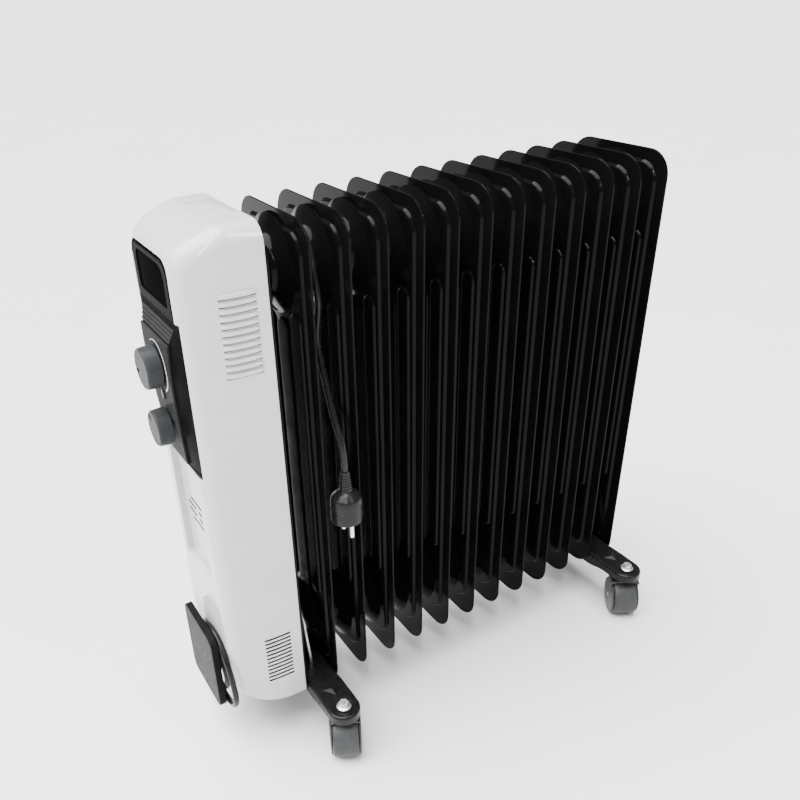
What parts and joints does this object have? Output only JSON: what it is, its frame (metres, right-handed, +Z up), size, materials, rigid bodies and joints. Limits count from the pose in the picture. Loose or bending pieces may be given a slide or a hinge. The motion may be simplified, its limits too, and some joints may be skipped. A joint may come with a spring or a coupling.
{
  "type": "oil filled radiator heater",
  "caption": "Oil filled electric radiator on casters: black ribbed fins, white control housing with two knobs, cord wrap and power cord.",
  "frame": {"origin": "on the floor, midway along the length and the width, between the casters", "axes": "+X from the control housing to the far fin, +Y across the width, +Z up"},
  "size_m": [0.625, 0.3136, 0.643],
  "materials": {
    "black_enamel": "gloss black stove enamel",
    "bare_steel": "plain steel",
    "white_abs": "gloss off-white moulding",
    "dark_plastic": "fine matte dark grey moulding",
    "grey_plastic": "satin mid grey moulding",
    "window_black": "polished black window",
    "lamp_lens": "tinted lamp lens",
    "knob_plastic": "satin grey moulding",
    "cream_plastic": "phenolic moulding",
    "cable_pvc": "smooth black PVC",
    "foot_paint": "satin black paint",
    "zinc": "bright zinc plate",
    "caster_tread": "moulded grey tread"
  },
  "bodies": {
    "heater": {"caster_bolt_front_a": "zinc", "caster_bolt_front_b": "zinc", "caster_bolt_rear_a": "zinc", "caster_bolt_rear_b": "zinc", "control_panel": "dark_plastic", "cord_gland": "dark_plastic", "cord_wrap_plate": "dark_plastic", "display_window": "window_black", "element_flange": "bare_steel", "fin_01": "black_enamel", "fin_02": "black_enamel", "fin_03": "black_enamel", "fin_04": "black_enamel", "fin_05": "black_enamel", "fin_06": "black_enamel", "fin_07": "black_enamel", "fin_08": "black_enamel", "fin_09": "black_enamel", "fin_10": "black_enamel", "fin_11": "black_enamel", "fin_12": "black_enamel", "fin_13": "black_enamel", "foot_bracket_front": "foot_paint", "foot_bracket_rear": "foot_paint", "heating_element_high": "bare_steel", "heating_element_low": "bare_steel", "housing_shell": "white_abs", "indicator_lamp": "lamp_lens", "knob_fascia": "grey_plastic", "plug": "cable_pvc", "power_cord": "cable_pvc", "power_cord_winding": "cable_pvc", "selector_switch": "cream_plastic", "terminal_block": "cream_plastic", "thermal_cutout": "bare_steel", "thermostat_body": "cream_plastic", "tip_over_switch": "dark_plastic", "top_cover": "white_abs", "u_bolt_front": "zinc", "u_bolt_rear": "zinc", "wing_nut_front_a": "zinc", "wing_nut_front_b": "zinc", "wing_nut_rear_a": "zinc", "wing_nut_rear_b": "zinc"},
    "thermostat_control": {"thermostat_knob": "knob_plastic", "thermostat_shaft": "bare_steel"},
    "selector_control": {"selector_knob": "knob_plastic", "selector_shaft": "bare_steel"},
    "caster_front_a": {"caster_yoke_front_a": "dark_plastic", "caster_axle_front_a": "bare_steel"},
    "caster_front_a_wheel": {"caster_wheel_front_a": "caster_tread"},
    "caster_front_b": {"caster_yoke_front_b": "dark_plastic", "caster_axle_front_b": "bare_steel"},
    "caster_front_b_wheel": {"caster_wheel_front_b": "caster_tread"},
    "caster_rear_a": {"caster_yoke_rear_a": "dark_plastic", "caster_axle_rear_a": "bare_steel"},
    "caster_rear_a_wheel": {"caster_wheel_rear_a": "caster_tread"},
    "caster_rear_b": {"caster_yoke_rear_b": "dark_plastic", "caster_axle_rear_b": "bare_steel"},
    "caster_rear_b_wheel": {"caster_wheel_rear_b": "caster_tread"}
  },
  "joints": [
    {"name": "thermostat_turn", "type": "hinge", "parent": "heater", "child": "thermostat_control", "pos_m": [-0.29555, 0, 0.5025], "axis": [1, 0, 0], "range_deg": [0, 270]},
    {"name": "selector_turn", "type": "hinge", "parent": "heater", "child": "selector_control", "pos_m": [-0.29455, 0, 0.436], "axis": [1, 0, 0], "range_deg": [0, 180]},
    {"name": "caster_front_a_swivel", "type": "hinge", "parent": "heater", "child": "caster_front_a", "pos_m": [-0.1811, -0.129, 0.03], "axis": [0, 0, 1], "continuous": true},
    {"name": "caster_front_a_roll", "type": "hinge", "parent": "caster_front_a", "child": "caster_front_a_wheel", "pos_m": [-0.17928, -0.12544, 0.028], "axis": [0.891, -0.454, 0], "continuous": true},
    {"name": "caster_front_b_swivel", "type": "hinge", "parent": "heater", "child": "caster_front_b", "pos_m": [-0.1811, 0.129, 0.03], "axis": [0, 0, 1], "continuous": true},
    {"name": "caster_front_b_roll", "type": "hinge", "parent": "caster_front_b", "child": "caster_front_b_wheel", "pos_m": [-0.17928, 0.12544, 0.028], "axis": [0.891, 0.454, 0], "continuous": true},
    {"name": "caster_rear_a_swivel", "type": "hinge", "parent": "heater", "child": "caster_rear_a", "pos_m": [0.282, -0.129, 0.03], "axis": [0, 0, 1], "continuous": true},
    {"name": "caster_rear_a_roll", "type": "hinge", "parent": "caster_rear_a", "child": "caster_rear_a_wheel", "pos_m": [0.28418, -0.12565, 0.028], "axis": [0.8387, -0.5446, 0], "continuous": true},
    {"name": "caster_rear_b_swivel", "type": "hinge", "parent": "heater", "child": "caster_rear_b", "pos_m": [0.282, 0.129, 0.03], "axis": [0, 0, 1], "continuous": true},
    {"name": "caster_rear_b_roll", "type": "hinge", "parent": "caster_rear_b", "child": "caster_rear_b_wheel", "pos_m": [0.28418, 0.12565, 0.028], "axis": [0.8387, 0.5446, 0], "continuous": true}
  ]
}
